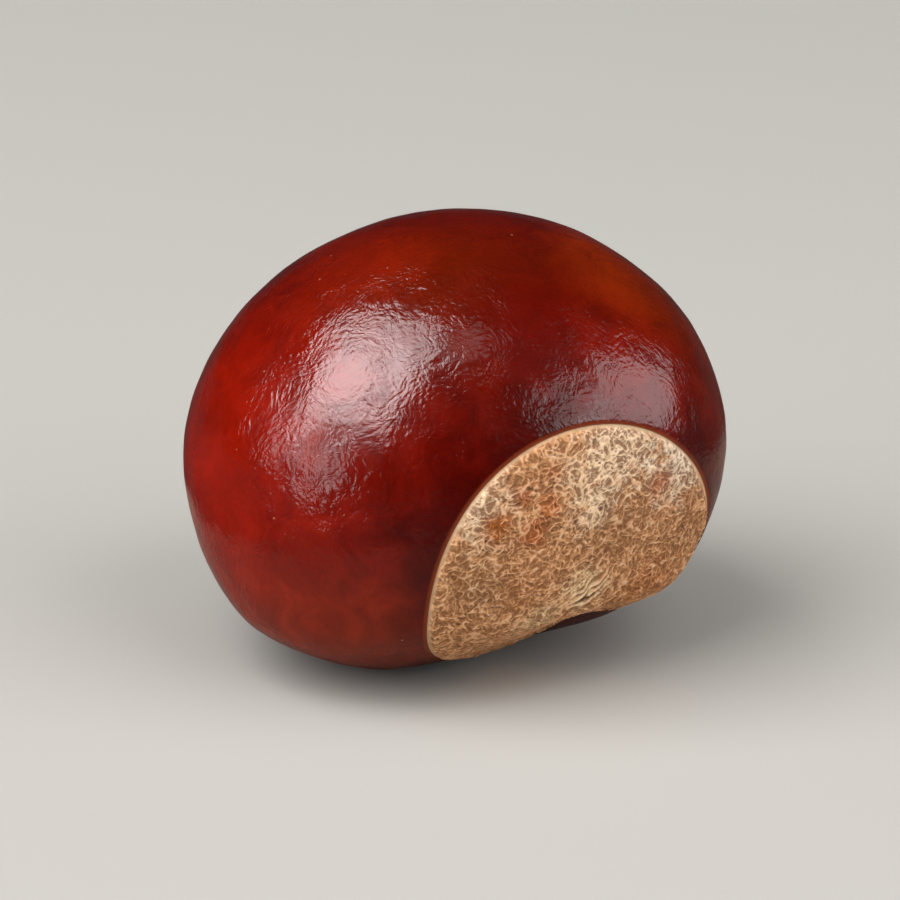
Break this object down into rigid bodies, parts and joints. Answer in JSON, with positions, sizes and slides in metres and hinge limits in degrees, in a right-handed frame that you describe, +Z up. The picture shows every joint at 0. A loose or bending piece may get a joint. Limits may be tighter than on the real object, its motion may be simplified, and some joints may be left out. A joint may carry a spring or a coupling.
{
  "type": "conker",
  "caption": "Loose ripe horse chestnut seed, rounded and glossy, with a pale rough scar at its front right; lies on its side on a small flat spot.",
  "frame": {"origin": "under the middle of the seed's box, on the floor that it rests on", "axes": "+Z up, +X to the right along the seed's longest side, -Y towards the front, where the scar shows at the right"},
  "size_m": [0.0362, 0.0342, 0.0293],
  "materials": {
    "seed_coat": "deep mahogany seed coat with a natural varnish-like gloss, and a matt cream and tan corky scar"
  },
  "bodies": {
    "root": {"conker": "seed_coat"}
  },
  "joints": []
}
